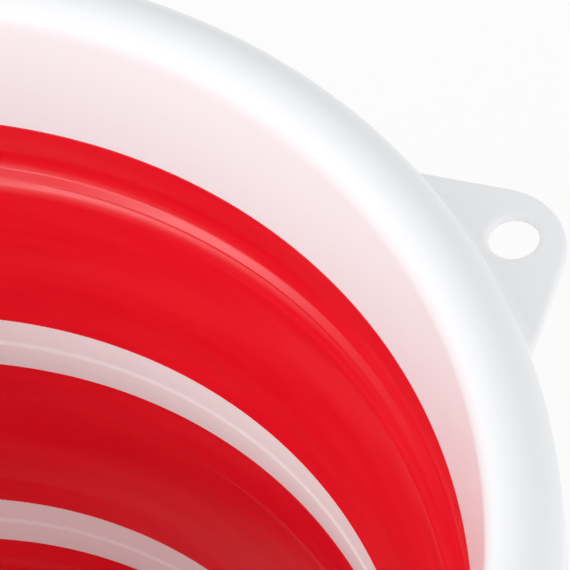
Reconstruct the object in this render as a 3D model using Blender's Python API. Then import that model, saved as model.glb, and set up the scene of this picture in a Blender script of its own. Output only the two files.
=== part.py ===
"""Collapsible bucket: a stiff collar and two stiff rings joined by soft folds to a moulded base.

The bucket stands open on the floor at z = 0, with its axis on Z and its hanging tab at +X.
The folds let the rings and the collar slide down over each other. The bail lies level at -X.
"""
import math

import bmesh
import bpy
from mathutils import Matrix

MM = 0.001

# Clearances
GAP = 0.3 * MM              # between pieces that touch
SWING_GAP = 0.4 * MM        # between a bail eye and the face of its ear

# Base cup
BASE_HEIGHT = 22.5 * MM
BASE_FLOOR_RADIUS = 88.0 * MM       # inside, at the floor
BASE_TOP_RADIUS = 91.5 * MM         # inside, at the cup's top edge
BASE_WALL = 2.4 * MM
BASE_FLOOR = 3.6 * MM
FLOOR_FILLET = 5.0 * MM
FLOOR_STEP = 0.8 * MM               # the middle of the floor stands this much higher
FLOOR_STEP_RADIUS = 62.0 * MM

# Non-slip ring under the base
FOOT_INSET = 11.0 * MM              # from the inside of the base's wall to the ring's middle
FOOT_WIDTH = 7.0 * MM
FOOT_HEIGHT = 2.6 * MM
FOOT_STAND = 1.0 * MM               # how far the base is held off the floor

# Soft folds, each as high as the open space between the stiff pieces that it joins
FOLD_THICKNESS = 1.8 * MM
FOLD_LAP = 1.5 * MM                 # how far a fold reaches up inside the ring above it
FOLD_HEM = 2.5 * MM                 # straight stretch at each edge of a fold
FOLD_BULGE = 0.7 * MM
LOWER_FOLD_HEIGHT = 37.0 * MM
MIDDLE_FOLD_HEIGHT = 37.0 * MM
UPPER_FOLD_HEIGHT = 37.5 * MM

# Stiff rings: a radius is that of the inner face at its lower edge
RING_THICKNESS = 3.0 * MM
RING_CHAMFER = 0.6 * MM
RIDGE_HEIGHT = 0.6 * MM
RIDGE_WIDTH = 1.8 * MM
LOWER_RING_HEIGHT = 14.5 * MM
LOWER_RING_RADIUS = 105.8 * MM
LOWER_RING_FLARE = 2.2 * MM         # how much wider the ring is at its upper edge
UPPER_RING_HEIGHT = 15.5 * MM
UPPER_RING_RADIUS = 121.7 * MM
UPPER_RING_FLARE = 2.1 * MM

# Collar: a conical wall with a rounded lip that turns down into a flange
COLLAR_HEIGHT = 50.0 * MM
COLLAR_WALL = 3.2 * MM
COLLAR_RADIUS = 140.0 * MM          # inside, at the upper edge of the soft band
COLLAR_FLARE = 4.7 * MM             # how much wider the wall is where the lip begins
LIP_WIDTH = 15.7 * MM
LIP_RISE = 6.6 * MM
LIP_WALL = 2.2 * MM
FLANGE_DROP = 10.3 * MM
HEM_HEIGHT = 4.5 * MM
HEM_DEPTH = 1.2 * MM

# Soft band bonded inside the collar's lower edge
BAND_TOP = 15.0 * MM                # above the collar's lower edge
BAND_BOTTOM = 1.5 * MM
BAND_THICKNESS = 1.4 * MM           # at the band's top, where it is flush with the wall
BAND_CREASE_DEPTH = 0.7 * MM        # the band stands in this far at its lower edge

# Hanging tab
TAB_LENGTH = 20.4 * MM              # beyond the rim
TAB_TIP_RADIUS = 16.5 * MM
TAB_THICKNESS = 2.8 * MM
TAB_RAISE = 0.2 * MM                # above the flange's lower edge
TAB_FLANK_ANGLE = math.radians(45)
TAB_HOLE_RADIUS = 5.0 * MM
TAB_HOLE_SETBACK = 10.4 * MM        # from the tip to the hole's centre

# Bail ears on the collar
PIVOT_HEIGHT = 24.0 * MM            # above the collar's lower edge
EAR_WIDTH = 22.0 * MM
EAR_RISE = 15.0 * MM                # above the pivot
EAR_STAND = 1.0 * MM                # beyond the rim
EAR_BACKING = 5.0 * MM              # solid ear between the wall and the pin's hole

# Bail and its grip
BAIL_HEIGHT = 12.0 * MM
BAIL_THICKNESS = 5.0 * MM
BAIL_CHAMFER = 1.4 * MM
EYE_RADIUS = 10.0 * MM
EYE_THICKNESS = 5.6 * MM
GRIP_WALL = 2.3 * MM
GRIP_CHAMFER = 3.0 * MM
GRIP_LENGTH = 104.0 * MM            # along the bail

# Pivot pins
PIN_RADIUS = 3.4 * MM
PIN_HEAD_RADIUS = 6.6 * MM
PIN_HEAD_HEIGHT = 2.5 * MM
PIN_HEAD_RIM = 0.8 * MM             # straight edge of the head, under its dome
PIN_TIP_CHAMFER = 1.0 * MM

# Smoothness of the solids
TURN_STEPS = 48
SMALL_STEPS = 20
LIP_STEPS = 7
FOLD_STEPS = 5
BAIL_STEPS = 14             # on each side of the grip
GRIP_STEPS = 8
TIP_STEPS = 8
DOME_STEPS = 3
FILLET_STEPS = 3
SMOOTH_ANGLE = math.radians(32)

# Levels and radii that follow from the sizes above
FOOT_RADIUS = BASE_FLOOR_RADIUS - FOOT_INSET            # to the middle of the ring's width
LOWER_RING_TOP_RADIUS = LOWER_RING_RADIUS + LOWER_RING_FLARE
UPPER_RING_TOP_RADIUS = UPPER_RING_RADIUS + UPPER_RING_FLARE
WALL_TOP_RADIUS = COLLAR_RADIUS + COLLAR_FLARE          # inside, where the lip begins
RIM_RADIUS = WALL_TOP_RADIUS + LIP_WIDTH
LOWER_RING_LEVEL = BASE_HEIGHT + LOWER_FOLD_HEIGHT
UPPER_RING_LEVEL = LOWER_RING_LEVEL + LOWER_RING_HEIGHT + MIDDLE_FOLD_HEIGHT
COLLAR_LEVEL = UPPER_RING_LEVEL + UPPER_RING_HEIGHT + UPPER_FOLD_HEIGHT
LIP_LEVEL = COLLAR_HEIGHT - LIP_RISE                    # where the wall ends and the lip begins
LIP_CENTRE = RIM_RADIUS - LIP_WIDTH / 2
REBATE_RADIUS = COLLAR_RADIUS + BAND_THICKNESS + GAP
BAND_LOWER_RADIUS = COLLAR_RADIUS - BAND_CREASE_DEPTH
FLANGE_LEVEL = LIP_LEVEL - FLANGE_DROP
TAB_REACH = RIM_RADIUS + TAB_LENGTH
EAR_FACE = RIM_RADIUS + EAR_STAND
EYE_CENTRE = EAR_FACE + SWING_GAP + EYE_THICKNESS / 2
GRIP_THICKNESS = BAIL_THICKNESS + 2 * (GAP + GRIP_WALL)
BAIL_REACH = TAB_REACH - GRIP_THICKNESS / 2             # level bail and tab reach equally far
BAIL_LEG = math.hypot(EAR_WIDTH / 2, EAR_RISE) + BAIL_HEIGHT / 2    # straight past the ear
PIN_HOLE_RADIUS = PIN_RADIUS + GAP
BAIL_END = (EYE_RADIUS + PIN_HOLE_RADIUS) / 2           # the bar ends inside the eye, clear of its hole


def clear_scene():
    for item in list(bpy.data.objects):
        bpy.data.objects.remove(item, do_unlink=True)


def plastic(name, colour, roughness):
    look = bpy.data.materials.new(name)
    look.use_nodes = True
    shader = look.node_tree.nodes["Principled BSDF"]
    shader.inputs["Base Color"].default_value = (*colour, 1.0)
    shader.inputs["Roughness"].default_value = roughness
    shader.inputs["Metallic"].default_value = 0.0
    look.diffuse_color = (*colour, 1.0)
    return look


def stage(name, height, parent=None):
    """An empty on the bucket's axis that carries one moving stage."""
    carrier = bpy.data.objects.new(name, None)
    bpy.context.collection.objects.link(carrier)
    carrier.parent = parent
    carrier.location.z = height
    return carrier


def add_piece(name, shape, look, parent):
    """Turn a bmesh into a named object that rides on its stage."""
    bmesh.ops.recalc_face_normals(shape, faces=shape.faces)
    mesh = bpy.data.meshes.new(name)
    shape.to_mesh(mesh)
    shape.free()
    mesh.shade_smooth()
    mesh.set_sharp_from_angle(angle=SMOOTH_ANGLE)
    if look:
        mesh.materials.append(look)
    piece = bpy.data.objects.new(name, mesh)
    bpy.context.collection.objects.link(piece)
    piece.parent = parent
    return piece


def hide(tool):
    """Mark an object that only cuts or joins others."""
    tool.hide_render = True
    tool.display_type = "WIRE"


def combine(piece, tool, operation):
    hide(tool)
    change = piece.modifiers.new(tool.name, "BOOLEAN")
    change.operation = operation
    change.solver = "EXACT"
    change.object = tool


def turned_shape(outline, steps):
    """Spin a closed outline of (radius, height) points about Z."""
    shape = bmesh.new()
    points = [shape.verts.new((radius, 0, height)) for radius, height in outline]
    edges = []
    for start, end in zip(points, points[1:] + points[:1]):
        if start.co.x > 0 or end.co.x > 0:
            edges.append(shape.edges.new((start, end)))
    bmesh.ops.spin(
        shape,
        geom=points + edges,
        cent=(0, 0, 0),
        axis=(0, 0, 1),
        angle=2 * math.pi,
        steps=steps,
    )
    bmesh.ops.remove_doubles(shape, verts=shape.verts, dist=GAP / 100)
    return shape


def turned(name, outline, look, parent, steps=TURN_STEPS):
    return add_piece(name, turned_shape(outline, steps), look, parent)


def rod_shape(radius, low, high, turn=0.0):
    """A short rod on Z. A turn sets its facets off those of a hole on the same axis."""
    outline = [(0, high), (radius, high), (radius, low), (0, low)]
    shape = turned_shape(outline, SMALL_STEPS)
    bmesh.ops.rotate(shape, verts=shape.verts, matrix=Matrix.Rotation(turn, 3, "Z"))
    return shape


def slab_shape(outline, low, high):
    """Extrude an outline of (x, y) points from one height to another."""
    shape = bmesh.new()
    face = shape.faces.new([shape.verts.new((x, y, low)) for x, y in outline])
    sides = bmesh.ops.extrude_face_region(shape, geom=[face])
    moved = [item for item in sides["geom"] if isinstance(item, bmesh.types.BMVert)]
    bmesh.ops.translate(shape, verts=moved, vec=(0, 0, high - low))
    return shape


def arc(centre, radius, start, end, steps):
    """Points on a circle, from one angle to another, both ends included."""
    return [
        (centre[0] + radius * math.cos(angle), centre[1] + radius * math.sin(angle))
        for angle in (start + (end - start) * step / steps for step in range(steps + 1))
    ]


# Base and foot


def base_outline():
    """From the middle of the floor up the wall, down outside and back along the underside."""
    underside = FOOT_STAND
    floor = underside + BASE_FLOOR
    groove_out = FOOT_RADIUS + FOOT_WIDTH / 2 + GAP
    groove_in = FOOT_RADIUS - FOOT_WIDTH / 2 - GAP
    groove_top = FOOT_HEIGHT + GAP
    fillet = arc(
        (BASE_FLOOR_RADIUS - FLOOR_FILLET, floor + FLOOR_FILLET),
        FLOOR_FILLET,
        -math.pi / 2,
        0,
        FILLET_STEPS,
    )
    return [
        (0, floor + FLOOR_STEP),
        (FLOOR_STEP_RADIUS, floor + FLOOR_STEP),
        (FLOOR_STEP_RADIUS + 2 * FLOOR_STEP, floor),
        *fillet,
        (BASE_TOP_RADIUS, BASE_HEIGHT),
        (BASE_TOP_RADIUS + BASE_WALL, BASE_HEIGHT),
        (BASE_FLOOR_RADIUS + BASE_WALL, floor + FLOOR_FILLET),
        (BASE_FLOOR_RADIUS - FLOOR_FILLET / 2 + BASE_WALL, underside),
        (groove_out, underside),
        (groove_out, groove_top),
        (groove_in, groove_top),
        (groove_in, underside),
        (0, underside),
    ]


def foot_outline():
    inner = FOOT_RADIUS - FOOT_WIDTH / 2
    outer = FOOT_RADIUS + FOOT_WIDTH / 2
    chamfer = FOOT_STAND / 2
    return [
        (outer, FOOT_HEIGHT),
        (outer, chamfer),
        (outer - chamfer, 0),
        (inner + chamfer, 0),
        (inner, chamfer),
        (inner, FOOT_HEIGHT),
    ]


# Rings and folds


def ring_outline(bottom_radius, top_radius, height):
    """A conical hoop with chamfered edges and a fine ridge round the middle of its inner face."""
    slope = (top_radius - bottom_radius) / height

    def inner(level):
        return bottom_radius + slope * level

    middle = height / 2
    return [
        (inner(height) + RING_THICKNESS - RING_CHAMFER, height),
        (inner(height) + RING_THICKNESS, height - RING_CHAMFER),
        (inner(0) + RING_THICKNESS, RING_CHAMFER),
        (inner(0) + RING_THICKNESS - RING_CHAMFER, 0),
        (inner(0), 0),
        (inner(middle - RIDGE_WIDTH / 2), middle - RIDGE_WIDTH / 2),
        (inner(middle) - RIDGE_HEIGHT, middle),
        (inner(middle + RIDGE_WIDTH / 2), middle + RIDGE_WIDTH / 2),
        (inner(height), height),
    ]


def fold_outline(bottom_inner, top_outer, low, high):
    """A thin funnel with a straight hem at each edge, narrow enough to pass inside the piece above."""
    bottom_outer = bottom_inner + FOLD_THICKNESS
    outer = [(bottom_outer, low)]
    for step in range(FOLD_STEPS + 1):
        part = step / FOLD_STEPS
        radius = bottom_outer + (top_outer - bottom_outer) * part
        level = low + FOLD_HEM + (high - low - 2 * FOLD_HEM) * part
        outer.append((radius - FOLD_BULGE * math.sin(math.pi * part), level))
    outer.append((top_outer, high))
    inner = [(radius - FOLD_THICKNESS, level) for radius, level in outer]
    return outer[::-1] + inner


# Collar


def wall_rise(level):
    """Share of the way up the wall's sloping stretch, from the band's top to the lip."""
    return max((level - BAND_TOP) / (LIP_LEVEL - BAND_TOP), 0)


def wall_inner(level):
    """Radius of the collar wall's inner face at a height above its lower edge."""
    return COLLAR_RADIUS + COLLAR_FLARE * wall_rise(level)


def wall_outer(level):
    return wall_inner(level) + COLLAR_WALL + (LIP_WALL - COLLAR_WALL) * wall_rise(level)


def lip_arc(inset, start, end):
    """Half of an ellipse over the lip, set in from its outer face."""
    return [
        (LIP_CENTRE + (LIP_WIDTH / 2 - inset) * x, LIP_LEVEL + (LIP_RISE - inset) * y)
        for x, y in arc((0, 0), 1, start, end, LIP_STEPS)
    ]


def collar_outline():
    outside = [
        *lip_arc(0, math.pi / 2, 0),
        (RIM_RADIUS, FLANGE_LEVEL),
        (RIM_RADIUS - LIP_WALL, FLANGE_LEVEL),
        *lip_arc(LIP_WALL, 0, math.pi),
        (wall_outer(BAND_TOP), BAND_TOP),
        (wall_outer(0), HEM_HEIGHT + HEM_DEPTH),
        (wall_outer(0) + HEM_DEPTH, HEM_HEIGHT),
        (wall_outer(0) + HEM_DEPTH, 0),
    ]
    inside = [
        (REBATE_RADIUS, 0),
        (REBATE_RADIUS, BAND_TOP),
        (COLLAR_RADIUS, BAND_TOP),
        *lip_arc(0, math.pi, math.pi / 2)[:-1],
    ]
    return outside + inside


def band_outline():
    top = BAND_TOP - GAP
    outer = REBATE_RADIUS - GAP
    return [
        (outer, top),
        (outer, BAND_BOTTOM),
        (BAND_LOWER_RADIUS, BAND_BOTTOM),
        (COLLAR_RADIUS, top),
    ]


def tab_outline():
    """Straight flanks that meet in a rounded tip. The root follows the inside of the flange."""
    tip_centre = TAB_REACH - TAB_TIP_RADIUS
    apex = tip_centre + TAB_TIP_RADIUS / math.sin(TAB_FLANK_ANGLE)
    root_radius = RIM_RADIUS - LIP_WALL / 2
    # angle at the axis of the point where a flank meets the root circle
    offset = apex * math.sin(TAB_FLANK_ANGLE) / root_radius
    root_angle = math.asin(offset) - TAB_FLANK_ANGLE
    turn = math.pi / 2 - TAB_FLANK_ANGLE
    tip = arc((tip_centre, 0), TAB_TIP_RADIUS, -turn, turn, TIP_STEPS)
    root = arc((0, 0), root_radius, root_angle, -root_angle, TIP_STEPS)
    return tip + root


def ear_shape():
    """A block with a round bottom. Its back lies inside the collar's wall, behind the band."""
    half = EAR_WIDTH / 2
    bottom = arc((0, PIVOT_HEIGHT), half, math.pi, 2 * math.pi, TIP_STEPS)
    outline = [(-half, PIVOT_HEIGHT + EAR_RISE), *bottom, (half, PIVOT_HEIGHT + EAR_RISE)]

    def back(x, level):
        root = wall_outer(level) - (COLLAR_WALL - BAND_THICKNESS) / 2
        return math.sqrt(root**2 - x**2)

    shape = bmesh.new()
    front = [shape.verts.new((x, EAR_FACE, level)) for x, level in outline]
    rear = [shape.verts.new((x, back(x, level), level)) for x, level in outline]
    middle = shape.verts.new((0, back(0, PIVOT_HEIGHT), PIVOT_HEIGHT))
    shape.faces.new(front)
    for i in range(len(outline)):
        shape.faces.new((front[i - 1], front[i], rear[i], rear[i - 1]))
        shape.faces.new((rear[i - 1], rear[i], middle))
    return shape


def ear_hole_bottom():
    """How far from the bucket's axis the pin's hole in an ear ends."""
    return wall_outer(PIVOT_HEIGHT) + EAR_BACKING


def make_collar(look, parent):
    collar = turned("rim_collar", collar_outline(), look, parent)
    tab_low = FLANGE_LEVEL + TAB_RAISE
    tab = add_piece(
        "tab_body", slab_shape(tab_outline(), tab_low, tab_low + TAB_THICKNESS), look, parent
    )
    combine(collar, tab, "UNION")
    for side, name in ((1, "right"), (-1, "left")):
        ear = add_piece(f"ear_{name}", ear_shape(), look, parent)
        ear.rotation_euler.z = 0 if side > 0 else math.pi
        combine(collar, ear, "UNION")
    for side, name in ((1, "right"), (-1, "left")):
        hole = rod_shape(PIN_HOLE_RADIUS, ear_hole_bottom(), EAR_FACE + EAR_STAND)
        cutter = add_piece(f"ear_hole_{name}", hole, None, parent)
        cutter.location.z = PIVOT_HEIGHT
        cutter.rotation_euler.x = -side * math.pi / 2
        combine(collar, cutter, "DIFFERENCE")
    hole = rod_shape(TAB_HOLE_RADIUS, tab_low - TAB_THICKNESS, tab_low + 2 * TAB_THICKNESS)
    cutter = add_piece("tab_hole", hole, None, parent)
    cutter.location.x = TAB_REACH - TAB_HOLE_SETBACK
    combine(collar, cutter, "DIFFERENCE")


# Bail, grip and pins


def chamfered_section(width, height, chamfer):
    """Corners of a chamfered rectangle, as (outward, upward) offsets."""
    w, h, c = width / 2, height / 2, chamfer
    return [
        (w, h - c), (w - c, h), (c - w, h), (-w, h - c),
        (-w, c - h), (c - w, -h), (w - c, -h), (w, c - h),
    ]


def bail_station(turn):
    """Centre and outward direction of the level bail, at an angle round its half-ellipse."""
    arm = BAIL_REACH - BAIL_LEG
    centre = (-BAIL_LEG - arm * math.sin(turn), EYE_CENTRE * math.cos(turn))
    outward = (-EYE_CENTRE * math.sin(turn), arm * math.cos(turn))
    length = math.hypot(*outward)
    return centre, (outward[0] / length, outward[1] / length)


def even_turns(start, end, steps):
    return [start + (end - start) * step / steps for step in range(steps + 1)]


def grip_turns():
    """Angles of the stations along the grip, which is centred on the bail."""
    half = GRIP_LENGTH / 2 / EYE_CENTRE
    return even_turns(math.pi / 2 - half, math.pi / 2 + half, GRIP_STEPS)


def bail_turns():
    """Angles of the bail's stations. Those under the grip are the grip's own."""
    middle = grip_turns()
    first = even_turns(0, middle[0], BAIL_STEPS)
    last = even_turns(middle[-1], math.pi, BAIL_STEPS)
    return first[:-1] + middle + last[1:]


def swept_ring(shape, section, station):
    (x, y), (out_x, out_y) = station
    return [shape.verts.new((x + out_x * out, y + out_y * out, up)) for out, up in section]


def skin(shape, rings):
    """Bridge each ring of corners to the next with quads."""
    for first, second in zip(rings, rings[1:]):
        for i in range(len(first)):
            shape.faces.new((first[i - 1], first[i], second[i], second[i - 1]))


def make_bail(look, parent):
    section = chamfered_section(BAIL_THICKNESS, BAIL_HEIGHT, BAIL_CHAMFER)
    shape = bmesh.new()
    stations = [
        ((-BAIL_END, EYE_CENTRE), (0, 1)),
        *(bail_station(turn) for turn in bail_turns()),
        ((-BAIL_END, -EYE_CENTRE), (0, -1)),
    ]
    rings = [swept_ring(shape, section, station) for station in stations]
    skin(shape, rings)
    shape.faces.new(rings[0])
    shape.faces.new(rings[-1])
    bail = add_piece("bail", shape, look, parent)
    for side, name in ((1, "right"), (-1, "left")):
        eye = rod_shape(
            EYE_RADIUS,
            EYE_CENTRE - EYE_THICKNESS / 2,
            EYE_CENTRE + EYE_THICKNESS / 2,
            math.pi / SMALL_STEPS,
        )
        disc = add_piece(f"eye_{name}", eye, look, parent)
        disc.rotation_euler.x = -side * math.pi / 2
        combine(bail, disc, "UNION")
    for side, name in ((1, "right"), (-1, "left")):
        hole = rod_shape(PIN_HOLE_RADIUS, EYE_CENTRE - EYE_THICKNESS, EYE_CENTRE + EYE_THICKNESS)
        cutter = add_piece(f"eye_hole_{name}", hole, None, parent)
        cutter.rotation_euler.x = -side * math.pi / 2
        combine(bail, cutter, "DIFFERENCE")


def make_grip(look, parent):
    """A sleeve round the middle of the bail, through the same stations."""
    inner_section = chamfered_section(
        BAIL_THICKNESS + 2 * GAP, BAIL_HEIGHT + 2 * GAP, BAIL_CHAMFER
    )
    outer_section = chamfered_section(
        GRIP_THICKNESS, BAIL_HEIGHT + 2 * (GAP + GRIP_WALL), GRIP_CHAMFER
    )
    shape = bmesh.new()
    stations = [bail_station(turn) for turn in grip_turns()]
    outer = [swept_ring(shape, outer_section, station) for station in stations]
    inner = [swept_ring(shape, inner_section, station) for station in stations]
    skin(shape, outer)
    skin(shape, inner)
    skin(shape, [outer[0], inner[0]])
    skin(shape, [outer[-1], inner[-1]])
    add_piece("grip_sleeve", shape, look, parent)


def pin_outline():
    """A domed head outside the eye, and a shaft through the eye into the ear."""
    tip = ear_hole_bottom() + GAP
    seat = EYE_CENTRE + EYE_THICKNESS / 2 + GAP
    dome_rise = PIN_HEAD_HEIGHT - PIN_HEAD_RIM
    dome = [
        (PIN_HEAD_RADIUS * x, seat + PIN_HEAD_RIM + dome_rise * y)
        for x, y in arc((0, 0), 1, math.pi / 2, 0, DOME_STEPS)
    ]
    return [
        (0, dome[0][1]),
        *dome[1:],
        (PIN_HEAD_RADIUS, seat),
        (PIN_RADIUS, seat),
        (PIN_RADIUS, tip + PIN_TIP_CHAMFER),
        (PIN_RADIUS - PIN_TIP_CHAMFER, tip),
        (0, tip),
    ]


def make_pins(look, parent):
    for side, name in ((1, "right"), (-1, "left")):
        pin = turned(f"pivot_pin_{name}", pin_outline(), look, parent, SMALL_STEPS)
        pin.location.z = PIVOT_HEIGHT
        pin.rotation_euler.x = -side * math.pi / 2


def main():
    clear_scene()
    white = plastic("white_plastic", (0.86, 0.86, 0.87), 0.25)
    ring_white = plastic("ring_plastic", (0.80, 0.79, 0.79), 0.35)
    red = plastic("soft_red", (0.78, 0.012, 0.028), 0.35)

    base = stage("base_stage", 0)
    turned("base_cup", base_outline(), white, base)
    turned("foot_ring", foot_outline(), red, base)
    lower_fold = fold_outline(
        BASE_TOP_RADIUS,
        LOWER_RING_RADIUS - GAP,
        BASE_HEIGHT + GAP,
        LOWER_RING_LEVEL + FOLD_LAP,
    )
    turned("fold_lower", lower_fold, red, base)

    lower = stage("lower_ring_stage", LOWER_RING_LEVEL, base)
    lower_ring = ring_outline(LOWER_RING_RADIUS, LOWER_RING_TOP_RADIUS, LOWER_RING_HEIGHT)
    turned("ring_lower", lower_ring, ring_white, lower)
    middle_fold = fold_outline(
        LOWER_RING_TOP_RADIUS,
        UPPER_RING_RADIUS - GAP,
        LOWER_RING_HEIGHT + GAP,
        LOWER_RING_HEIGHT + MIDDLE_FOLD_HEIGHT + FOLD_LAP,
    )
    turned("fold_middle", middle_fold, red, lower)

    upper = stage("upper_ring_stage", UPPER_RING_LEVEL - LOWER_RING_LEVEL, lower)
    upper_ring = ring_outline(UPPER_RING_RADIUS, UPPER_RING_TOP_RADIUS, UPPER_RING_HEIGHT)
    turned("ring_upper", upper_ring, ring_white, upper)
    upper_fold = fold_outline(
        UPPER_RING_TOP_RADIUS,
        BAND_LOWER_RADIUS - GAP,
        UPPER_RING_HEIGHT + GAP,
        UPPER_RING_HEIGHT + UPPER_FOLD_HEIGHT + BAND_BOTTOM,
    )
    turned("fold_upper", upper_fold, red, upper)

    collar = stage("collar_stage", COLLAR_LEVEL - UPPER_RING_LEVEL, upper)
    make_collar(white, collar)
    turned("rim_band", band_outline(), red, collar)
    make_pins(white, collar)

    pivot = stage("bail_pivot", PIVOT_HEIGHT, collar)
    make_bail(white, pivot)
    make_grip(red, pivot)


main()
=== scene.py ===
"""Looks of the collapsible bucket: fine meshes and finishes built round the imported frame."""

import math

import bmesh
import bpy
from mathutils import Matrix, Vector


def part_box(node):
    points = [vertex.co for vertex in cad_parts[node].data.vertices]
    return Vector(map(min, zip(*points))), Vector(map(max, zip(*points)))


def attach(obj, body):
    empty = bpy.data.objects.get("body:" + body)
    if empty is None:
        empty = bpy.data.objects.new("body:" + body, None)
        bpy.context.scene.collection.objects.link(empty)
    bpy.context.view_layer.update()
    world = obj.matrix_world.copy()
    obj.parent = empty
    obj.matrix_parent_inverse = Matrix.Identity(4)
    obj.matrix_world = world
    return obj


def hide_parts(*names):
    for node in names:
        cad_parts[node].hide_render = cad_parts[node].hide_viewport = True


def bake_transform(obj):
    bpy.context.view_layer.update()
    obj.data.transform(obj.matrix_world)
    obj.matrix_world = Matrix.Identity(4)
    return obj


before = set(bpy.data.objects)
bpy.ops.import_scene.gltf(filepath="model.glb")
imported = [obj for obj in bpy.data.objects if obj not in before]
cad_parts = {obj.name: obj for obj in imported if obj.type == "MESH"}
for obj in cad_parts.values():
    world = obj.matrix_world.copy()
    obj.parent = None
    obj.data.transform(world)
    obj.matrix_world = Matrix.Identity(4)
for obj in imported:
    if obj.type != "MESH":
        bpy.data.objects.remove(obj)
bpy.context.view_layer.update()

MM = 0.001

# Places read from the frame
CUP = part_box("base_cup")
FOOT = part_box("foot_ring")
LOWER_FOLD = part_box("fold_lower")
LOWER_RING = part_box("ring_lower")
MIDDLE_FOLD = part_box("fold_middle")
UPPER_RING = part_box("ring_upper")
UPPER_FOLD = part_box("fold_upper")
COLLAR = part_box("rim_collar")
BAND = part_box("rim_band")
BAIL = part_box("bail")
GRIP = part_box("grip_sleeve")
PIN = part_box("pivot_pin_right")

# Clearances
GAP = 0.3 * MM
SEAM = 0.1 * MM             # between a soft band and the stiff edge that it is moulded to
HEM_SETBACK = 0.1 * MM      # a band's foot behind the edge below it, before its hem leans in
STRIP_PROUD = 0.02 * MM     # the strip's top edge in front of the collar's wall

# Collar
RIM_RADIUS = -COLLAR[0].x
LIP_TOP = COLLAR[1].z
LIP_WIDTH = 15.7 * MM
LIP_RISE = 6.6 * MM
LIP_WALL = 2.2 * MM
LIP_LEVEL = LIP_TOP - LIP_RISE
LIP_CENTRE = RIM_RADIUS - LIP_WIDTH / 2
LIP_PULL_UP = 3.8 * MM      # how strongly the inner lip's curve keeps to the wall
LIP_PULL_IN = 4.6 * MM      # and to the level crest
FLANGE_LEVEL = LIP_LEVEL - 10.3 * MM
FLANGE_EDGE = 0.9 * MM
FLANGE_INNER_EDGE = 0.7 * MM
COLLAR_BOTTOM = COLLAR[0].z
COLLAR_WALL = 3.2 * MM
COLLAR_FLARE = 4.7 * MM
COLLAR_BEND = 6.0 * MM
COLLAR_HEM = 4.5 * MM       # height of the thicker hem at the collar's foot
COLLAR_HEM_STEP = 1.2 * MM
COLLAR_HEM_EDGE = 0.8 * MM
BAND_EDGE = COLLAR_BOTTOM + 15.0 * MM       # where the red begins on the inner wall
BAND_EDGE_RADIUS = RIM_RADIUS - LIP_WIDTH - COLLAR_FLARE
BAND_EDGE_ROUND = 0.35 * MM
REBATE_RADIUS = BAND[1].x + GAP
REBATE_EDGE = 0.4 * MM

# Tab
TAB_TIP = COLLAR[1].x
TAB_TIP_RADIUS = 16.5 * MM
TAB_THICKNESS = 2.8 * MM
TAB_LOW = FLANGE_LEVEL + 0.2 * MM
TAB_HIGH = TAB_LOW + TAB_THICKNESS
TAB_FLANK_ANGLE = math.radians(45)
TAB_HOLE_RADIUS = 5.3 * MM
TAB_HOLE = TAB_TIP - 10.4 * MM
TAB_EDGE = 1.2 * MM
TAB_EDGE_RUN = 1.5 * MM     # how soon the tab's edge is fully rounded outside the flange
TAB_HOLE_EDGE = 1.35 * MM
TAB_ROOT_FILLET = 3.6 * MM

# Ears, pins and bail
PIVOT = (BAIL[0].z + BAIL[1].z) / 2
EAR_FACE = COLLAR[1].y
EAR_WIDTH = 22.0 * MM
EAR_RISE = 15.0 * MM
EAR_CORNER = 3.0 * MM
EAR_EDGE = 1.2 * MM
EAR_HOLE_EDGE = 0.5 * MM
PIN_HOLE_RADIUS = 3.7 * MM
PIN_RADIUS = 3.4 * MM
PIN_HEAD_RADIUS = 6.6 * MM
PIN_HEAD_SIDE = 0.8 * MM
PIN_HEAD_EDGE = 0.5 * MM
PIN_SEAT_EDGE = 0.3 * MM
PIN_NECK_EDGE = 0.2 * MM
PIN_TIP_EDGE = 0.8 * MM
EYE_FACE = BAIL[1].y
EYE_THICKNESS = 5.6 * MM
EYE_RADIUS = 10.0 * MM
EYE_CENTRE = EYE_FACE - EYE_THICKNESS / 2
EYE_EDGE = 0.9 * MM
EYE_HOLE_EDGE = 0.5 * MM
EYE_FILLET = 8.0 * MM
BAIL_THICKNESS = 5.0 * MM
BAIL_HEIGHT = 12.0 * MM
BAIL_EDGE = 1.7 * MM
BAIL_REACH = -BAIL[0].x - BAIL_THICKNESS / 2
BAIL_LEG = math.hypot(EAR_WIDTH / 2, EAR_RISE) + BAIL_HEIGHT / 2
# Where a leg begins to widen towards its eye, measured from the pivot
LEG_FILLET_START = math.sqrt((EYE_RADIUS + EYE_FILLET) ** 2 - (BAIL_HEIGHT / 2 + EYE_FILLET) ** 2)
GRIP_LENGTH = 104.0 * MM
GRIP_HEIGHT = GRIP[1].z - GRIP[0].z
GRIP_THICKNESS = BAIL_THICKNESS + GRIP_HEIGHT - BAIL_HEIGHT
GRIP_EDGE = 4.2 * MM
GRIP_END_EDGE = 2.0 * MM
GRIP_END = 5.0 * MM         # plain length at each end of the ribs
GRIP_CLEARANCE = 0.2 * MM
GRIP_RIBS = 21
RIB_DEPTH = 0.5 * MM

# Folds and rings
FOLD_THICKNESS = 1.8 * MM
FOLD_BULGE = 0.7 * MM
BAND_LOW_EDGE = 0.5 * MM
BAND_HIGH_EDGE = 0.3 * MM
HEM_TILT = 0.07              # how far a hem leans in for its height
LOWER_HEM = 6.0 * MM
UPPER_HEM = 4.0 * MM
WELT_DROP = 8.0 * MM         # a faint welt under the upper hem
WELT_DEPTH = 0.1 * MM
WELT_WIDTH = 0.6 * MM
CREASE_INSET = 1.7 * MM
RING_THICKNESS = 3.0 * MM
RING_OUTER_EDGE = 0.8 * MM
RING_TOP_EDGE = 0.25 * MM
RING_LOW_EDGE = 0.3 * MM
LEDGE_DEPTH = 0.5 * MM
LEDGE_HEIGHT = 0.7 * MM
LEDGE_EDGE = 0.45 * MM

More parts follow.
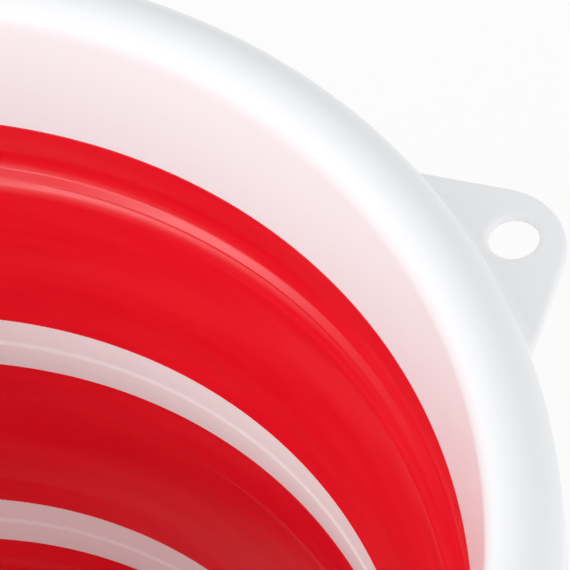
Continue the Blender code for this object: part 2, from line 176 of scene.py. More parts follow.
# Base
CUP_RADIUS = 88.0 * MM
CUP_WALL = 2.4 * MM
CUP_FLOOR = 3.6 * MM
CUP_KNEE = 5.0 * MM          # height of the curve between the floor and the wall
CUP_RIM_EDGE = 0.8 * MM
CUP_RIM_INNER_EDGE = 0.4 * MM
CUP_KNEE_EDGE = 2.0 * MM
CUP_FOOT_INSET = 0.1 * MM
CUP_FOOT_EDGE = 1.6 * MM
CUP_BAND_INSET = 2.3 * MM
STEP_RADIUS = 62.0 * MM      # the floor's raised middle
STEP_RUN = 1.6 * MM
STEP_HEIGHT = 0.8 * MM
STEP_EDGE = 1.0 * MM
FOOT_WIDTH = 7.0 * MM
FOOT_EDGE = 0.9 * MM
FOOT_TOP_EDGE = 0.2 * MM
FOOT_SEAT_EDGE = 0.3 * MM
TREAD_PLACES = (0.66, 0.34)  # the foot ring's two grooves, as shares of its width
TREAD_DEPTH = 0.5 * MM

# Smoothness
TURN_STEPS = 256
SMALL_STEPS = 72
CORNER_STEPS = 5
BAND_CORNER_STEPS = 4
LIP_STEPS = 20
BAND_STEPS = 60
BEAD_STEPS = 8
BAIL_STEPS = 120
LEG_STEPS = 24
RIB_STEPS = 8
TAB_STEPS = 24
TAB_RINGS = 30
EAR_STEPS = 24
EAR_RINGS = 6
DOME_STEPS = 12
SMOOTH_ANGLE = math.radians(40)
MERGE_DISTANCE = 0.001 * MM

# Finishes. Noise scales count cells to the metre, or to the radian round a band.
WHITE_ROUGHNESS = 0.22
WHITE_RUB = 0.04             # how far the roughness strays either way
RED_ROUGHNESS = 0.21
RED_RUB = 0.05
CLOUD_SCALE = 9.0
FLOW_SCALE = 26.0
RUB_SCALE = 34.0
PEEL_SCALE = 420.0
GRAIN_SCALE = 900.0
# Scales of the red's painted sheen streaks
SHEEN_STREAK_SCALES = (3.0, 240.0)                # round a band, and up it
MOTTLE_SCALES = (12.0, 120.0)

# Studio
FLOOR_RADIUS = 14.0
FLOOR_SIDES = 96
FLOOR_COLOUR = (0.96, 0.96, 0.96)
FLOOR_ROUGHNESS = 0.9
FLOOR_GLOW = 0.86            # share of plain white that the camera sees in the floor
WORLD_LEVEL = 0.78


# Outlines


def rounded(corners, steps=CORNER_STEPS, closed=True):
    """Points through corners (across, up, reach). Each corner turns smoothly within its reach."""
    outline = []
    count = len(corners)
    for i, (across, up, reach) in enumerate(corners):
        corner = Vector((across, up))
        at_end = not closed and i in (0, count - 1)
        if at_end or reach <= 0:
            outline.append((across, up))
            continue
        before = Vector(corners[i - 1][:2]) - corner
        after = Vector(corners[(i + 1) % count][:2]) - corner
        reach = min(reach, before.length / 2, after.length / 2)
        start = corner + before.normalized() * reach
        end = corner + after.normalized() * reach
        for step in range(steps + 1):
            t = step / steps
            point = start * (1 - t) ** 2 + corner * 2 * t * (1 - t) + end * t**2
            outline.append((point.x, point.y))
    return outline


def arc(centre, across, up, start, end, steps):
    """Points on an ellipse from one angle to another, in degrees."""
    points = []
    for step in range(steps + 1):
        angle = math.radians(start + (end - start) * step / steps)
        points.append((centre[0] + across * math.cos(angle), centre[1] + up * math.sin(angle)))
    return points


def bezier(points, steps):
    """Points along a cubic curve through the first and last of four points."""
    a, b, c, d = (Vector(point) for point in points)
    curve = []
    for step in range(steps + 1):
        t = step / steps
        s = 1 - t
        point = a * s**3 + b * 3 * s * s * t + c * 3 * s * t * t + d * t**3
        curve.append((point.x, point.y))
    return curve


# Meshes


def finish_mesh(name, shape, look):
    """Turn a bmesh into a smooth-shaded object with one finish."""
    bmesh.ops.recalc_face_normals(shape, faces=shape.faces)
    mesh = bpy.data.meshes.new(name)
    shape.to_mesh(mesh)
    shape.free()
    mesh.shade_smooth()
    mesh.set_sharp_from_angle(angle=SMOOTH_ANGLE)
    mesh.materials.append(look)
    piece = bpy.data.objects.new(name, mesh)
    bpy.context.scene.collection.objects.link(piece)
    return piece


def skin(shape, loops, around=True, along=True):
    """Join loops of vertices with quads, round each loop and from loop to loop."""
    count = len(loops[0])
    pairs = list(zip(loops, loops[1:]))
    if along:
        pairs.append((loops[-1], loops[0]))
    for first, second in pairs:
        for i in range(count if around else count - 1):
            j = (i + 1) % count
            shape.faces.new((first[i], first[j], second[j], second[i]))


def add_turned(shape, outline, steps, closed=True, matrix=None):
    """Turn an outline of (radius, height) points about Z into a bmesh."""
    loops = []
    for step in range(steps):
        angle = 2 * math.pi * step / steps
        across, along = math.cos(angle), math.sin(angle)
        loop = []
        for radius, height in outline:
            place = Vector((radius * across, radius * along, height))
            loop.append(shape.verts.new(matrix @ place if matrix else place))
        loops.append(loop)
    skin(shape, loops, around=closed)
    if not closed:
        ends = [loop[k] for loop in loops for k in (0, -1)]
        bmesh.ops.remove_doubles(shape, verts=ends, dist=MERGE_DISTANCE)


def turned(name, outline, look, closed=True):
    """An outline of (radius, height) points turned about the bucket's axis."""
    shape = bmesh.new()
    add_turned(shape, outline, TURN_STEPS, closed)
    return finish_mesh(name, shape, look)


# Collar, tab and ears


def collar_outline():
    """From the crest of the lip outwards and down, back up behind it, and up the inner wall."""
    outer_lip = arc((LIP_CENTRE, LIP_LEVEL), LIP_WIDTH / 2, LIP_RISE, 90, 0, LIP_STEPS)
    under_lip = arc(
        (LIP_CENTRE, LIP_LEVEL), LIP_WIDTH / 2 - LIP_WALL, LIP_RISE - LIP_WALL, 0, 180, LIP_STEPS
    )
    wall = BAND_EDGE_RADIUS + COLLAR_WALL
    hem = wall + COLLAR_HEM_STEP
    hem_top = COLLAR_BOTTOM + COLLAR_HEM
    flange = rounded(
        [
            (*outer_lip[-1], 0),
            (RIM_RADIUS, FLANGE_LEVEL, FLANGE_EDGE),
            (RIM_RADIUS - LIP_WALL, FLANGE_LEVEL, FLANGE_INNER_EDGE),
            (*under_lip[0], 0),
        ],
        closed=False,
    )
    lower = rounded(
        [
            (*under_lip[-1], 0),
            (wall, BAND_EDGE, COLLAR_BEND),
            (wall, hem_top + COLLAR_HEM_STEP, COLLAR_HEM_EDGE),
            (hem, hem_top, COLLAR_HEM_EDGE),
            (hem, COLLAR_BOTTOM, COLLAR_HEM_EDGE),
            (REBATE_RADIUS, COLLAR_BOTTOM, REBATE_EDGE),
            (REBATE_RADIUS, BAND_EDGE, 0),
            (BAND_EDGE_RADIUS, BAND_EDGE, BAND_EDGE_ROUND),
            (wall_radius(LIP_LEVEL), LIP_LEVEL, 0),
        ],
        closed=False,
    )
    rise = Vector((COLLAR_FLARE, LIP_LEVEL - BAND_EDGE)).normalized()
    start = Vector((wall_radius(LIP_LEVEL), LIP_LEVEL))
    crest = Vector((LIP_CENTRE, LIP_TOP))
    pulls = start + rise * LIP_PULL_UP, crest - Vector((LIP_PULL_IN, 0))
    inner_lip = bezier([start, *pulls, crest], LIP_STEPS)
    return outer_lip[:-1] + flange[:-1] + under_lip[:-1] + lower[:-1] + inner_lip[:-1]


def wall_radius(level):
    """Radius of the collar's inner wall."""
    return BAND_EDGE_RADIUS + COLLAR_FLARE * (level - BAND_EDGE) / (LIP_LEVEL - BAND_EDGE)


def add_plate(shape, outline, centre, hole_radius, place, high, low, edge_at, hole_edge, rings):
    """A plate with a hole. Each outline point gives one closed section, from hole to edge and back.

    high and low give the faces' levels at a spot, edge_at how far the edge is rounded at a point,
    and place turns a spot and a level into a position.
    """
    turns = [math.pi / 2 * step / CORNER_STEPS for step in range(CORNER_STEPS + 1)]
    centre = Vector(centre)
    loops = []
    for i, end in enumerate(outline):
        point = Vector(end)
        edge = edge_at(point)
        ahead = Vector(outline[(i + 1) % len(outline)]) - Vector(outline[i - 1])
        normal = Vector((ahead.y, -ahead.x)).normalized()
        towards = (point - centre).normalized()
        rim = centre + towards * hole_radius
        inner = rim + towards * hole_edge
        outer = point - normal * edge
        hole_side = [
            (rim + towards * hole_edge * (1 - math.cos(turn)), hole_edge * (1 - math.sin(turn)))
            for turn in turns
        ]
        outer_side = [
            (outer + normal * edge * math.sin(turn), edge * (1 - math.cos(turn))) for turn in turns
        ]
        flat = [(inner.lerp(outer, ring / rings), 0) for ring in range(1, rings)]
        section = [(spot, high(spot) - drop) for spot, drop in hole_side + flat + outer_side]
        section += [(spot, low(spot) + drop) for spot, drop in outer_side[::-1] + hole_side[::-1]]
        loops.append([shape.verts.new(place(spot, level)) for spot, level in section])
    skin(shape, loops)


def tab_outline():
    """Straight flanks and a rounded tip. The root lies inside the flange."""
    tip_centre = TAB_TIP - TAB_TIP_RADIUS
    apex = tip_centre + TAB_TIP_RADIUS / math.sin(TAB_FLANK_ANGLE)
    root_radius = RIM_RADIUS - LIP_WALL / 2
    root_turn = math.asin(apex * math.sin(TAB_FLANK_ANGLE) / root_radius) - TAB_FLANK_ANGLE
    root_turn = math.degrees(root_turn)
    turn = 90 - math.degrees(TAB_FLANK_ANGLE)
    tip = arc((tip_centre, 0), TAB_TIP_RADIUS, TAB_TIP_RADIUS, -turn, turn, 2 * TAB_STEPS)
    root = arc((0, 0), root_radius, root_radius, root_turn, -root_turn, 2 * TAB_STEPS)
    outline = []
    for curve, following in ((tip, root), (root, tip)):
        start, end = Vector(curve[-1]), Vector(following[0])
        flank = [start.lerp(end, step / TAB_STEPS) for step in range(TAB_STEPS)]
        outline += curve[:-1] + [(point.x, point.y) for point in flank]
    return outline


def tab_top(spot):
    """The tab's upper face, which sweeps up into the lip's side at its root."""
    reach = max(spot.length - RIM_RADIUS, 0)
    if reach >= TAB_ROOT_FILLET:
        return TAB_HIGH
    rest = TAB_ROOT_FILLET - reach
    return TAB_HIGH + TAB_ROOT_FILLET - math.sqrt(TAB_ROOT_FILLET**2 - rest**2)


def tab_edge(point):
    """How far the tab's edge is rounded. It is left square inside the flange."""
    return TAB_EDGE * min(max((point.length - RIM_RADIUS) / TAB_EDGE_RUN, 0), 1)


def make_tab(look):
    """The hanging tab, a flat plate with a round hole."""
    shape = bmesh.new()
    add_plate(
        shape, tab_outline(), (TAB_HOLE, 0), TAB_HOLE_RADIUS,
        lambda spot, level: (spot.x, spot.y, level),
        tab_top, lambda spot: TAB_LOW, tab_edge, TAB_HOLE_EDGE, TAB_RINGS,
    )
    return finish_mesh("hanging_tab", shape, look)


def ear_outline():
    """Round bottom, straight sides and softly rounded upper corners, about the pivot."""
    half = EAR_WIDTH / 2
    upper = rounded(
        [
            (half, 0, 0),
            (half, EAR_RISE, EAR_CORNER),
            (-half, EAR_RISE, EAR_CORNER),
            (-half, 0, 0),
        ],
        closed=False,
    )
    return upper[:-1] + arc((0, 0), half, half, 180, 360, EAR_STEPS)[:-1]


def make_ear(name, side, look):
    """An ear that grows out of the collar's wall, with the pin's hole in it."""
    def back(spot):
        level = PIVOT + spot.y
        root = wall_radius(max(level, BAND_EDGE)) + COLLAR_WALL / 2
        return math.sqrt(root**2 - spot.x**2)

    shape = bmesh.new()
    add_plate(
        shape, ear_outline(), (0, 0), PIN_HOLE_RADIUS,
        lambda spot, depth: (side * spot.x, side * depth, PIVOT + spot.y),
        lambda spot: EAR_FACE, back, lambda point: EAR_EDGE, EAR_HOLE_EDGE, EAR_RINGS,
    )
    return finish_mesh(name, shape, look)


# Bands, rings and base


def band_piece(name, inner, look):
    """A soft band of even thickness from its inner curve, with rounded edges."""
    outer = [(radius + FOLD_THICKNESS, level) for radius, level in reversed(inner)]
    low = [(*outer[-1], BAND_LOW_EDGE), (*inner[0], BAND_LOW_EDGE)]
    high = [(*inner[-1], BAND_HIGH_EDGE), (*outer[0], BAND_HIGH_EDGE)]
    sides = [[(*point, 0) for point in side[1:-1]] for side in (inner, outer)]
    outline = rounded(low + sides[0] + high + sides[1], BAND_CORNER_STEPS)
    return turned(name, outline, look)


def fold_curve(start, end, upper_hem=True):
    """A fold's inner curve between two stiff edges: a bulge between two slightly tilted hems."""
    (r0, z0), (r1, z1) = start, end
    points = []
    for step in range(BAND_STEPS + 1):
        t = step / BAND_STEPS
        radius = r0 + (r1 - r0) * t
        level = z0 + (z1 - z0) * t
        inward = FOLD_BULGE * math.sin(math.pi * t)
        inward += HEM_TILT * max(z0 + LOWER_HEM - level, 0)
        if upper_hem:
            inward -= HEM_TILT * max(level - z1 + UPPER_HEM, 0)
            inward += WELT_DEPTH * math.exp(-(((z1 - level - WELT_DROP) / WELT_WIDTH) ** 2))
        points.append((radius - inward, level))
    return points


# The upper band's beads, from its fold up to the strip in the collar: each corner's place from
# the crease, across and up, and its reach, in mm
BEADS = (
    (-4.6, -5.8, 0),
    (-3.9, -4.0, 1.0),
    (-2.8, -2.25, 0.8),
    (-1.88, -1.14, 0.12),
    (-1.76, -0.93, 0.12),
    (-0.25, 0.72, 0.3),
    (0.45, 1.8, 0.6),
    (0.95, 2.8, 0.6),
    (1.35, 5.0, 1.1),
)


def upper_band_curve():
    """From the upper ring to the double bead at the crease, and up the strip in the collar."""
    foot = (band_foot(UPPER_RING, UPPER_FOLD), UPPER_RING[1].z + SEAM)
    radius, level = BAND_EDGE_RADIUS - CREASE_INSET, BAND[0].z - GAP
    corners = [(radius + across * MM, level + up * MM, reach * MM) for across, up, reach in BEADS]
    corners.append((BAND_EDGE_RADIUS - STRIP_PROUD, BAND_EDGE - SEAM, 0))
    beads = rounded(corners, BEAD_STEPS, closed=False)
    return fold_curve(foot, beads[0], upper_hem=False)[:-1] + beads


def band_foot(ring, fold_below):
    """Radius from which a band's lower hem leans in, to stand a little proud of the ring below."""
    return inner_radius(ring, fold_below)[1] + HEM_SETBACK


def inner_radius(ring, fold_below):
    """Radii of a ring's inner face at its lower and upper edges."""
    return fold_below[1].x + GAP, ring[1].x - RING_THICKNESS


def ring_outline(ring, fold_below):
    """A hoop whose inner face stands back above half height, over a fine ledge."""
    low, high = ring[0].z, ring[1].z
    bottom, top = inner_radius(ring, fold_below)
    middle, waist = (low + high) / 2, (bottom + top) / 2
    return rounded(
        [
            (top, high, RING_TOP_EDGE),
            (top + RING_THICKNESS, high, RING_OUTER_EDGE),
            (bottom + RING_THICKNESS, low, RING_OUTER_EDGE),
            (bottom, low, RING_LOW_EDGE),
            (waist - LEDGE_DEPTH / 2, middle - LEDGE_HEIGHT / 2, LEDGE_EDGE),
            (waist + LEDGE_DEPTH / 2, middle + LEDGE_HEIGHT / 2, LEDGE_EDGE),
        ]
    )


def cup_outline():
    """From the floor's middle out and up the wall, over its rim, and back under the cup."""
    bottom, top = CUP[0].z, CUP[1].z
    floor = bottom + CUP_FLOOR
    rim = CUP[1].x - CUP_WALL
    knee = floor + CUP_KNEE
    slope = (rim - CUP_RADIUS) / (top - knee)
    groove_in, groove_out = FOOT[1].x - FOOT_WIDTH - GAP, FOOT[1].x + GAP
    groove_top = FOOT[1].z + GAP
    return rounded(
        [
            (0, floor + STEP_HEIGHT, 0),
            (STEP_RADIUS, floor + STEP_HEIGHT, STEP_EDGE),
            (STEP_RADIUS + STEP_RUN, floor, STEP_EDGE),
            (CUP_RADIUS - slope * CUP_KNEE, floor, CUP_KNEE),
            (rim, top, CUP_RIM_INNER_EDGE),
            (rim + CUP_WALL, top, CUP_RIM_EDGE),
            (CUP_RADIUS + CUP_WALL, knee, CUP_KNEE_EDGE),
            (CUP_RADIUS - CUP_FOOT_INSET, bottom, CUP_FOOT_EDGE),
            (groove_out, bottom, FOOT_SEAT_EDGE),
            (groove_out, groove_top, FOOT_TOP_EDGE),
            (groove_in, groove_top, FOOT_TOP_EDGE),
            (groove_in, bottom, FOOT_SEAT_EDGE),
            (0, bottom, 0),
        ],
        closed=False,
    )


def foot_outline():
    """The foot ring, with two fine grooves in its tread."""
    inner, outer = FOOT[1].x - FOOT_WIDTH, FOOT[1].x
    high = FOOT[1].z
    corners = [(inner, high, FOOT_TOP_EDGE), (outer, high, FOOT_TOP_EDGE), (outer, 0, FOOT_EDGE)]
    for share in TREAD_PLACES:
        place = inner + FOOT_WIDTH * share
        corners += [
            (place + TREAD_DEPTH, 0, FOOT_TOP_EDGE),
            (place, TREAD_DEPTH, FOOT_TOP_EDGE),
            (place - TREAD_DEPTH, 0, FOOT_TOP_EDGE),
        ]
    corners.append((inner, 0, FOOT_EDGE))
    return rounded(corners)


# Bail, grip and pins


def arch_station(turn):
    """Centre and outward direction on the bail's half-ellipse."""
    arm = BAIL_REACH - BAIL_LEG
    centre = Vector((-BAIL_LEG - arm * math.sin(turn), EYE_CENTRE * math.cos(turn)))
    outward = Vector((-EYE_CENTRE * math.sin(turn), arm * math.cos(turn))).normalized()
    return centre, outward


def add_sweep(shape, stations, capped=True):
    """Skin sections given as (centre, outward direction, outline of (outward, up) points)."""
    loops = []
    for centre, outward, outline in stations:
        loops.append([
            shape.verts.new((*(centre + outward * out), PIVOT + up)) for out, up in outline
        ])
    skin(shape, loops, along=not capped)
    if capped:
        shape.faces.new(loops[0])
        shape.faces.new(loops[-1])


def bar_section(thickness, height, edge):
    """A rectangle with rounded corners."""
    out, up = thickness / 2, height / 2
    return rounded([(out, up, edge), (-out, up, edge), (-out, -up, edge), (out, -up, edge)])


def leg_height(reach):
    """Height of the leg, which widens to meet the eye in a fillet."""
    if reach >= LEG_FILLET_START:
        return BAIL_HEIGHT
    rise = BAIL_HEIGHT / 2 + EYE_FILLET
    return 2 * (rise - math.sqrt(max(EYE_FILLET**2 - (LEG_FILLET_START - reach) ** 2, 0)))


def make_bail(look):
    """Two straight legs joined by a half-ellipse, with an eye at each end."""
    shape = bmesh.new()
    tangent = LEG_FILLET_START * EYE_RADIUS / (EYE_RADIUS + EYE_FILLET)
    reaches = [tangent + (BAIL_LEG - tangent) * step / LEG_STEPS for step in range(LEG_STEPS)]
    legs = {}
    for side in (1, -1):
        legs[side] = [
            (
                Vector((-reach, side * EYE_CENTRE)),
                Vector((0, side)),
                bar_section(BAIL_THICKNESS, leg_height(reach), BAIL_EDGE),
            )
            for reach in reaches
        ]
    section = bar_section(BAIL_THICKNESS, BAIL_HEIGHT, BAIL_EDGE)
    arch = [
        (*arch_station(math.pi * step / BAIL_STEPS), section) for step in range(BAIL_STEPS + 1)
    ]
    add_sweep(shape, legs[1] + arch + legs[-1][::-1])
    half = EYE_THICKNESS / 2
    eye = rounded([
        (EYE_RADIUS, half, EYE_EDGE),
        (EYE_RADIUS, -half, EYE_EDGE),
        (PIN_HOLE_RADIUS, -half, EYE_HOLE_EDGE),
        (PIN_HOLE_RADIUS, half, EYE_HOLE_EDGE),
    ])
    across = Matrix.Rotation(math.pi / 2, 4, "X")
    for side in (1, -1):
        place = Matrix.Translation((0, side * EYE_CENTRE, PIVOT)) @ across
        add_turned(shape, eye, SMALL_STEPS, matrix=place)
    return finish_mesh("bail_arch", shape, look)


def make_grip(look):
    """A soft sleeve with fine ribs round it and rounded ends."""
    shape = bmesh.new()
    half_turn = GRIP_LENGTH / 2 / EYE_CENTRE
    steps = GRIP_RIBS * RIB_STEPS
    ribbed = GRIP_LENGTH - 2 * GRIP_END
    bore = bar_section(
        BAIL_THICKNESS + 2 * GRIP_CLEARANCE, BAIL_HEIGHT + 2 * GRIP_CLEARANCE, BAIL_EDGE
    )
    outer, inner = [], []
    for step in range(steps + 1):
        share = step / steps
        centre, outward = arch_station(math.pi / 2 + half_turn * (2 * share - 1))
        from_end = min(share, 1 - share) * GRIP_LENGTH
        rest = max(GRIP_END_EDGE - from_end, 0)
        shrink = GRIP_END_EDGE - math.sqrt(GRIP_END_EDGE**2 - rest**2)
        if from_end > GRIP_END:
            wave = math.cos(2 * math.pi * (GRIP_RIBS - 1) * (from_end - GRIP_END) / ribbed)
            shrink += RIB_DEPTH * (1 - wave) / 2
        sleeve = bar_section(GRIP_THICKNESS - 2 * shrink, GRIP_HEIGHT - 2 * shrink, GRIP_EDGE)
        outer.append((centre, outward, sleeve))
        inner.append((centre, outward, bore))
    add_sweep(shape, outer + inner[::-1], capped=False)
    return finish_mesh("grip", shape, look)


def make_pin(name, side, look):
    """A snap pin with a shallow domed head."""
    tip, head = PIN[0].y, PIN[1].y
    seat = EYE_FACE + GAP
    shoulder = seat + PIN_HEAD_SIDE
    dome = arc((0, shoulder), PIN_HEAD_RADIUS, head - shoulder, 90, 0, DOME_STEPS)
    outline = rounded(
        [(x, y, 0) for x, y in dome[:-1]]
        + [
            (*dome[-1], PIN_HEAD_EDGE),
            (PIN_HEAD_RADIUS, seat, PIN_SEAT_EDGE),
            (PIN_RADIUS, seat, PIN_NECK_EDGE),
            (PIN_RADIUS, tip, PIN_TIP_EDGE),
            (0, tip, 0),
        ],
        closed=False,
    )
    shape = bmesh.new()
    place = Matrix.Translation((0, 0, PIVOT)) @ Matrix.Rotation(-side * math.pi / 2, 4, "X")
    add_turned(shape, outline, SMALL_STEPS, closed=False, matrix=place)
    return finish_mesh(name, shape, look)


# Finishes


class Finish:
    """A node material with helpers that add and link nodes."""

    def __init__(self, name, colour, roughness):
        self.look = bpy.data.materials.new(name)
        self.look.use_nodes = True
        self.look.diffuse_color = (*colour, 1)
        self.tree = self.look.node_tree
        self.shader = self.tree.nodes["Principled BSDF"]
        self.shader.inputs["Base Color"].default_value = (*colour, 1)
        self.shader.inputs["Roughness"].default_value = roughness

    def node(self, kind, **inputs):
        made = self.tree.nodes.new(kind)
        for key, value in inputs.items():
            self.set(made, key, value)
        return made

    def set(self, node, key, value):
        socket = node.inputs[key]
        if isinstance(value, bpy.types.NodeSocket):
            self.tree.links.new(value, socket)
        else:
            socket.default_value = value

    def math(self, operation, first, second=0.0):
        made = self.tree.nodes.new("ShaderNodeMath")
        made.operation = operation
        self.set(made, 0, first)
        self.set(made, 1, second)
        return made.outputs[0]

    def round_place(self, around, up):
        """Coordinates that run round the bucket and up it, each stretched by its own scale."""
        place = self.node("ShaderNodeTexCoord").outputs["Object"]
        split = self.node("ShaderNodeSeparateXYZ", Vector=place)
        x, y, z = split.outputs
        out = self.tree.nodes.new("ShaderNodeCombineXYZ")
        squares = self.math("ADD", self.math("MULTIPLY", x, x), self.math("MULTIPLY", y, y))
        reach = self.math("SQRT", squares)
        self.set(out, 0, self.math("MULTIPLY", self.math("DIVIDE", x, reach), around))
        self.set(out, 1, self.math("MULTIPLY", self.math("DIVIDE", y, reach), around))
        self.set(out, 2, self.math("MULTIPLY", z, up))
        return out.outputs[0]

    def noise(self, place, scale, detail, roughness=0.5):
        made = self.node("ShaderNodeTexNoise", Vector=place, Scale=scale, Detail=detail)
        made.inputs["Roughness"].default_value = roughness
        return made.outputs["Fac"]

    def spread(self, value, low, high, start=0.0, end=1.0):
        """Map a value that runs from start to end onto low to high."""
        made = self.node("ShaderNodeMapRange", Value=value)
        limits = {"From Min": start, "From Max": end, "To Min": low, "To Max": high}
        for key, number in limits.items():
            made.inputs[key].default_value = number
        return made.outputs["Result"]

    def blend(self, factor, first, second):
        made = self.tree.nodes.new("ShaderNodeMix")
        made.data_type = "RGBA"
        self.set(made, "Factor", factor)
        made.inputs["A"].default_value = (*first, 1)
        made.inputs["B"].default_value = (*second, 1)
        return made.outputs["Result"]

    def bump(self, height, distance, strength, under=None):
        made = self.node("ShaderNodeBump", Height=height, Distance=distance, Strength=strength)
        if under:
            self.set(made, "Normal", under)
        return made.outputs["Normal"]

    def wire(self, key, value):
        self.set(self.shader, key, value)


def white_look(name, pale, warm):
    """Glossy moulded polypropylene: faint clouds and flow marks, fine orange peel."""
    finish = Finish(name, pale, WHITE_ROUGHNESS)
    finish.shader.inputs["Specular IOR Level"].default_value = 0.25
    place = finish.node("ShaderNodeTexCoord").outputs["Object"]
    cloud = finish.noise(place, CLOUD_SCALE, detail=4.0, roughness=0.55)
    finish.wire("Base Color", finish.blend(cloud, pale, warm))
    rub = finish.noise(place, RUB_SCALE, detail=3.0)
    rub = finish.spread(rub, WHITE_ROUGHNESS - WHITE_RUB, WHITE_ROUGHNESS + WHITE_RUB)
    finish.wire("Roughness", rub)
    flow = finish.noise(place, FLOW_SCALE, detail=2.0)
    under = finish.bump(flow, distance=0.25 * MM, strength=0.12)
    peel = finish.noise(place, PEEL_SCALE, detail=2.0)
    finish.wire("Normal", finish.bump(peel, distance=0.02 * MM, strength=0.25, under=under))
    return finish.look


def red_look(name, lit_red, shaded_red):
    """Satin thermoplastic rubber, with painted sheen: lit and shaded red in soft streaks round the
    bands.
    """
    finish = Finish(name, lit_red, RED_ROUGHNESS)
    finish.shader.inputs["Specular IOR Level"].default_value = 0.3
    # Painted sheen: noise streaks round the bands blend the lit and the shaded red.
    sheen_streak = finish.noise(finish.round_place(*SHEEN_STREAK_SCALES), 1.0, detail=4.0, roughness=0.55)
    share = finish.spread(sheen_streak, 0.0, 1.0, start=0.15, end=0.85)
    finish.wire("Base Color", finish.blend(share, lit_red, shaded_red))
    mottle = finish.noise(finish.round_place(*MOTTLE_SCALES), 1.0, detail=2.0)
    mottle = finish.spread(mottle, RED_ROUGHNESS - RED_RUB, RED_ROUGHNESS + RED_RUB)
    finish.wire("Roughness", mottle)
    place = finish.node("ShaderNodeTexCoord").outputs["Object"]
    grain = finish.noise(place, GRAIN_SCALE, detail=1.0)
    finish.wire("Normal", finish.bump(grain, distance=0.01 * MM, strength=0.1))
    return finish.look


white = white_look("white_polypropylene", (0.90, 0.92, 0.94), (0.885, 0.905, 0.925))
# A paler, less pink copy of the same white for the hoops: painted light that cancels the red light
# bounced onto them.
ring_white_painted_light = white_look("ring_polypropylene_painted_light", (0.935, 0.965, 0.97), (0.915, 0.945, 0.95))
# A paler copy of the same white for the tab, pins and bail: painted light that brightens the parts
# outside the rim.
bare_white_painted_light = white_look("bare_polypropylene_painted_light", (0.95, 0.96, 0.975), (0.935, 0.945, 0.96))
# The bright and the deep red are the rubber's lit and shaded tones, blended in streaks as painted
# sheen.
red = red_look("soft_red_rubber_painted_sheen", (0.84, 0.011, 0.021), (0.76, 0.001, 0.015))


# Pieces

collar = turned("collar_shell", collar_outline(), white)
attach(collar, "collar")
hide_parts("rim_collar")

tab = make_tab(bare_white_painted_light)
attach(tab, "collar")

for side, name in ((1, "right"), (-1, "left")):
    ear = make_ear(f"bail_ear_{name}", side, white)
    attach(ear, "collar")
    pin = make_pin(f"snap_pin_{name}", side, bare_white_painted_light)
    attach(pin, "collar")
    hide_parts(f"pivot_pin_{name}")

upper_hoop = turned("hoop_upper", ring_outline(UPPER_RING, MIDDLE_FOLD), ring_white_painted_light)
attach(upper_hoop, "upper_ring")
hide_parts("ring_upper")

lower_hoop = turned("hoop_lower", ring_outline(LOWER_RING, LOWER_FOLD), ring_white_painted_light)
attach(lower_hoop, "lower_ring")
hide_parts("ring_lower")


def place_band(name, curve, below, above, start, end, *replaced):
    """A soft red band from its inner curve, set in place of the parts that it replaces."""
    band = band_piece(name, curve, red)
    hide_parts(*replaced)
    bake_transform(band)


place_band(
    "band_upper", upper_band_curve(), "upper_ring", "collar",
    UPPER_RING[1].z, BAND[0].z - GAP, "fold_upper", "rim_band",
)
place_band(
    "band_middle",
    fold_curve(
        (band_foot(LOWER_RING, LOWER_FOLD), LOWER_RING[1].z + SEAM),
        (inner_radius(UPPER_RING, MIDDLE_FOLD)[0], UPPER_RING[0].z - SEAM),
    ),
    "lower_ring", "upper_ring", LOWER_RING[1].z, UPPER_RING[0].z, "fold_middle",
)
place_band(
    "band_lower",
    fold_curve(
        (CUP[1].x - CUP_BAND_INSET, CUP[1].z + SEAM),
        (inner_radius(LOWER_RING, LOWER_FOLD)[0], LOWER_RING[0].z - SEAM),
    ),
    "base", "lower_ring", CUP[1].z, LOWER_RING[0].z, "fold_lower",
)

cup = turned("cup_shell", cup_outline(), white, closed=False)
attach(cup, "base")
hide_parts("base_cup")

tread = turned("foot_tread", foot_outline(), red)
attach(tread, "base")
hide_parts("foot_ring")

bail = make_bail(bare_white_painted_light)
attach(bail, "bail")
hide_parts("bail")

grip = make_grip(red)
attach(grip, "bail")
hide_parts("grip_sleeve")


# Floor, light and camera


def make_floor():
    """A pale floor that reads as white to the camera and keeps the object's shadow."""
    shape = bmesh.new()
    bmesh.ops.create_circle(shape, cap_ends=True, segments=FLOOR_SIDES, radius=FLOOR_RADIUS)
    finish = Finish("floor_paper", FLOOR_COLOUR, FLOOR_ROUGHNESS)
    tree = finish.tree
    glow = tree.nodes.new("ShaderNodeEmission")
    glow.inputs["Strength"].default_value = 1.0
    path = tree.nodes.new("ShaderNodeLightPath")
    seen = finish.math("MAXIMUM", path.outputs["Is Camera Ray"], path.outputs["Is Glossy Ray"])
    share = finish.math("MULTIPLY", seen, FLOOR_GLOW)
    mix = tree.nodes.new("ShaderNodeMixShader")
    tree.links.new(share, mix.inputs[0])
    tree.links.new(finish.shader.outputs[0], mix.inputs[1])
    tree.links.new(glow.outputs[0], mix.inputs[2])
    tree.links.new(mix.outputs[0], tree.nodes["Material Output"].inputs[0])
    floor = finish_mesh("floor", shape, finish.look)


def make_world():
    """An even white studio, which the camera sees as plain white."""
    world = bpy.data.worlds.new("studio")
    bpy.context.scene.world = world
    world.use_nodes = True
    tree = world.node_tree
    back = tree.nodes["Background"]
    back.inputs["Color"].default_value = (1, 1, 1, 1)
    path = tree.nodes.new("ShaderNodeLightPath")
    seen = tree.nodes.new("ShaderNodeMath")
    seen.operation = "MAXIMUM"
    tree.links.new(path.outputs["Is Camera Ray"], seen.inputs[0])
    tree.links.new(path.outputs["Is Transmission Ray"], seen.inputs[1])
    strength = tree.nodes.new("ShaderNodeMapRange")
    tree.links.new(seen.outputs[0], strength.inputs["Value"])
    strength.inputs["To Min"].default_value = WORLD_LEVEL
    strength.inputs["To Max"].default_value = 1.0
    tree.links.new(strength.outputs["Result"], back.inputs["Strength"])


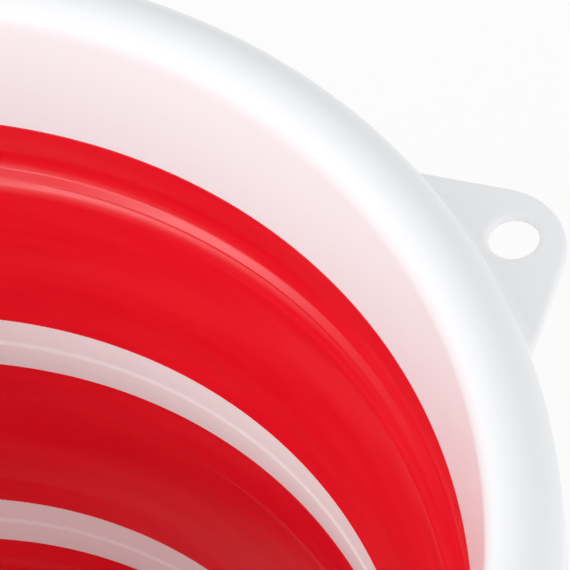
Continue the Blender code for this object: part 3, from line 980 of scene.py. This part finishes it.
def make_softbox(name, place, target, width, height, power):
    """A rectangular lamp that faces its target."""
    lamp = bpy.data.lights.new(name, "AREA")
    lamp.shape = "RECTANGLE"
    lamp.size = width
    lamp.size_y = height
    lamp.energy = power
    box = bpy.data.objects.new(name, lamp)
    bpy.context.scene.collection.objects.link(box)
    box.location = place
    box.rotation_euler = (Vector(target) - Vector(place)).to_track_quat("-Z", "Y").to_euler()


# The camera looks down into the bucket past its rim, from 0.8 m off and through a long lens.
CAMERA_PLACE = Vector((-20.5, -469.2, 854.5)) * MM
CAMERA_TARGET = Vector((122.7, 8.8, 207.15)) * MM
CAMERA_ROLL = math.radians(12.28)
FOCAL_PIXELS = 4000
FRAME_PIXELS = 570
SENSOR_WIDTH = 36.0
NEAREST = 0.01
FARTHEST = 100.0


def make_camera():
    """The photograph's view, as the scene's camera."""
    data = bpy.data.cameras.new("camera")
    data.sensor_width = SENSOR_WIDTH
    data.lens = SENSOR_WIDTH * FOCAL_PIXELS / FRAME_PIXELS
    data.clip_start = NEAREST
    data.clip_end = FARTHEST
    camera = bpy.data.objects.new("camera", data)
    bpy.context.scene.collection.objects.link(camera)
    look = (CAMERA_TARGET - CAMERA_PLACE).to_track_quat("-Z", "Y").to_matrix().to_4x4()
    camera.matrix_world = (
        Matrix.Translation(CAMERA_PLACE) @ look @ Matrix.Rotation(-CAMERA_ROLL, 4, "Z")
    )
    bpy.context.scene.camera = camera


make_floor()
make_world()
make_softbox(
    "key", place=(-1.41, -0.16, 0.73), target=(0, 0, 0.15), width=1.6, height=0.13, power=8.1
)
make_softbox(
    "fill", place=(-1.50, 0, 0.44), target=(0, 0, 0.17), width=2.0, height=0.30, power=3.5
)
make_softbox(
    "front", place=(-1.0, -1.0, 1.0), target=(0, 0, 0.17), width=1.4, height=0.6, power=3.0
)
make_softbox(
    "side", place=(1.06, -1.06, 0.44), target=(0, 0, 0.17), width=2.0, height=0.30, power=3.0
)
make_camera()
bpy.context.scene.view_settings.view_transform = "Standard"
